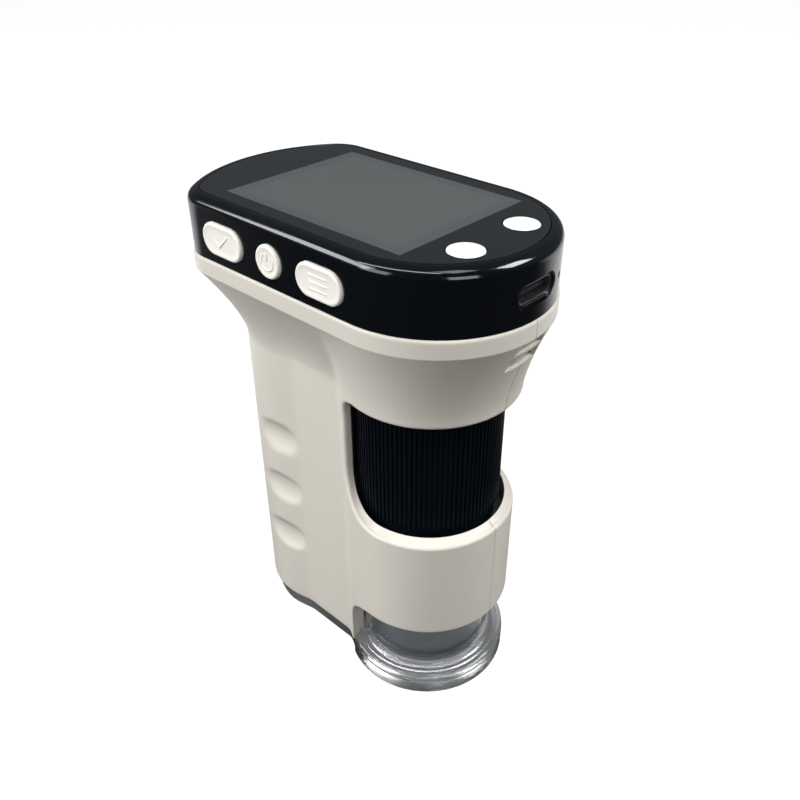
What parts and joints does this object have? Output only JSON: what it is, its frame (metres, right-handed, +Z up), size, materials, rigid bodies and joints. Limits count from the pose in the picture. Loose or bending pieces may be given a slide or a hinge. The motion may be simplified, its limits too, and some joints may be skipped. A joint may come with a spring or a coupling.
{
  "type": "handheld digital microscope",
  "caption": "Handheld digital microscope: display head with keys, finger-grooved grip, ribbed focusing wheel in a lens barrel, clear stand-off foot.",
  "frame": {"origin": "where the optical axis meets the resting plane, in the middle of the specimen window", "axes": "+Z up along the optical axis towards the display, -Y towards the charging port and the front of the barrel, +Y towards the grip, -X towards the three side keys"},
  "size_m": [0.0424, 0.0709, 0.099],
  "materials": {
    "shell_white": "fine satin, moulded",
    "bezel_black": "gloss",
    "window_acrylic": "gloss, printed black behind",
    "gasket_foam": "matt foam",
    "lcd_glass": "polished",
    "lcd_steel": "pressed sheet",
    "tray_plastic": "moulded",
    "pcb": "solder mask",
    "chip_black": "moulded",
    "screw_steel": "zinc plated",
    "usb_steel": "plated",
    "switch_black": "moulded",
    "key_white": "satin",
    "top_key_white": "satin",
    "cell_foil": "foil pouch",
    "pad_foam": "matt foam",
    "wire_red": "PVC",
    "optics_black": "moulded, matt",
    "flex_amber": "polyimide film",
    "friction_felt": "matt",
    "wheel_black": "satin, ribbed",
    "lens_glass": "polished, coated",
    "foot_clear": "polished clear acrylic",
    "led_phosphor": "moulded resin",
    "hood_grey": "moulded"
  },
  "bodies": {
    "housing": {"left_shell": "shell_white", "right_shell": "shell_white", "clear_foot": "foot_clear", "top_bezel": "bezel_black", "display_window": "window_acrylic", "lcd_gasket": "gasket_foam", "lcd_panel": "lcd_glass", "lcd_frame": "lcd_steel", "lcd_tray": "tray_plastic", "main_board": "pcb", "board_chips": "chip_black", "board_screws": "screw_steel", "usb_port": "usb_steel", "side_switches": "switch_black", "top_switches": "switch_black", "battery_cell": "cell_foil", "battery_pad": "pad_foam", "battery_wires": "wire_red", "guide_tube": "optics_black", "sensor_board": "pcb", "image_sensor": "chip_black", "sensor_screws": "screw_steel", "sensor_flex": "flex_amber", "friction_ring": "friction_felt", "led_board": "pcb", "leds": "led_phosphor", "light_hood": "hood_grey", "case_screws": "screw_steel"},
    "focus_wheel": {"focus_wheel": "wheel_black"},
    "lens_carriage": {"lens_carriage": "optics_black", "front_lens": "lens_glass", "rear_lens": "lens_glass", "lens_spacer": "optics_black", "lens_retainer": "optics_black"},
    "ok_key": {"ok_key": "key_white"},
    "power_key": {"power_key": "key_white"},
    "menu_key": {"menu_key": "key_white"},
    "top_key_left": {"top_key_left": "top_key_white"},
    "top_key_right": {"top_key_right": "top_key_white"}
  },
  "joints": [
    {"name": "focus_turn", "type": "hinge", "parent": "housing", "child": "focus_wheel", "pos_m": [0, 0, 0.054], "axis": [0, 0, 1], "range_deg": [-75, 75]},
    {"name": "focus_slide", "type": "slide", "parent": "housing", "child": "lens_carriage", "axis": [0, 0, 1], "range_m": [-0.0037, 0.0037]},
    {"name": "ok_key_press", "type": "slide", "parent": "housing", "child": "ok_key", "axis": [1, 0, 0], "range_m": [0, 0.0005], "stiffness_N_per_m": 1500, "springref_m": -0.0004},
    {"name": "power_key_press", "type": "slide", "parent": "housing", "child": "power_key", "axis": [1, 0, 0], "range_m": [0, 0.0005], "stiffness_N_per_m": 1500, "springref_m": -0.0004},
    {"name": "menu_key_press", "type": "slide", "parent": "housing", "child": "menu_key", "axis": [1, 0, 0], "range_m": [0, 0.0005], "stiffness_N_per_m": 1500, "springref_m": -0.0004},
    {"name": "top_key_left_press", "type": "slide", "parent": "housing", "child": "top_key_left", "axis": [0, 0, -1], "range_m": [0, 0.0005], "stiffness_N_per_m": 1500, "springref_m": -0.0004},
    {"name": "top_key_right_press", "type": "slide", "parent": "housing", "child": "top_key_right", "axis": [0, 0, -1], "range_m": [0, 0.0005], "stiffness_N_per_m": 1500, "springref_m": -0.0004}
  ],
  "couplings": [
    {"joint": "focus_slide", "follows": "focus_turn", "m_per_rad": 0.0028264}
  ]
}
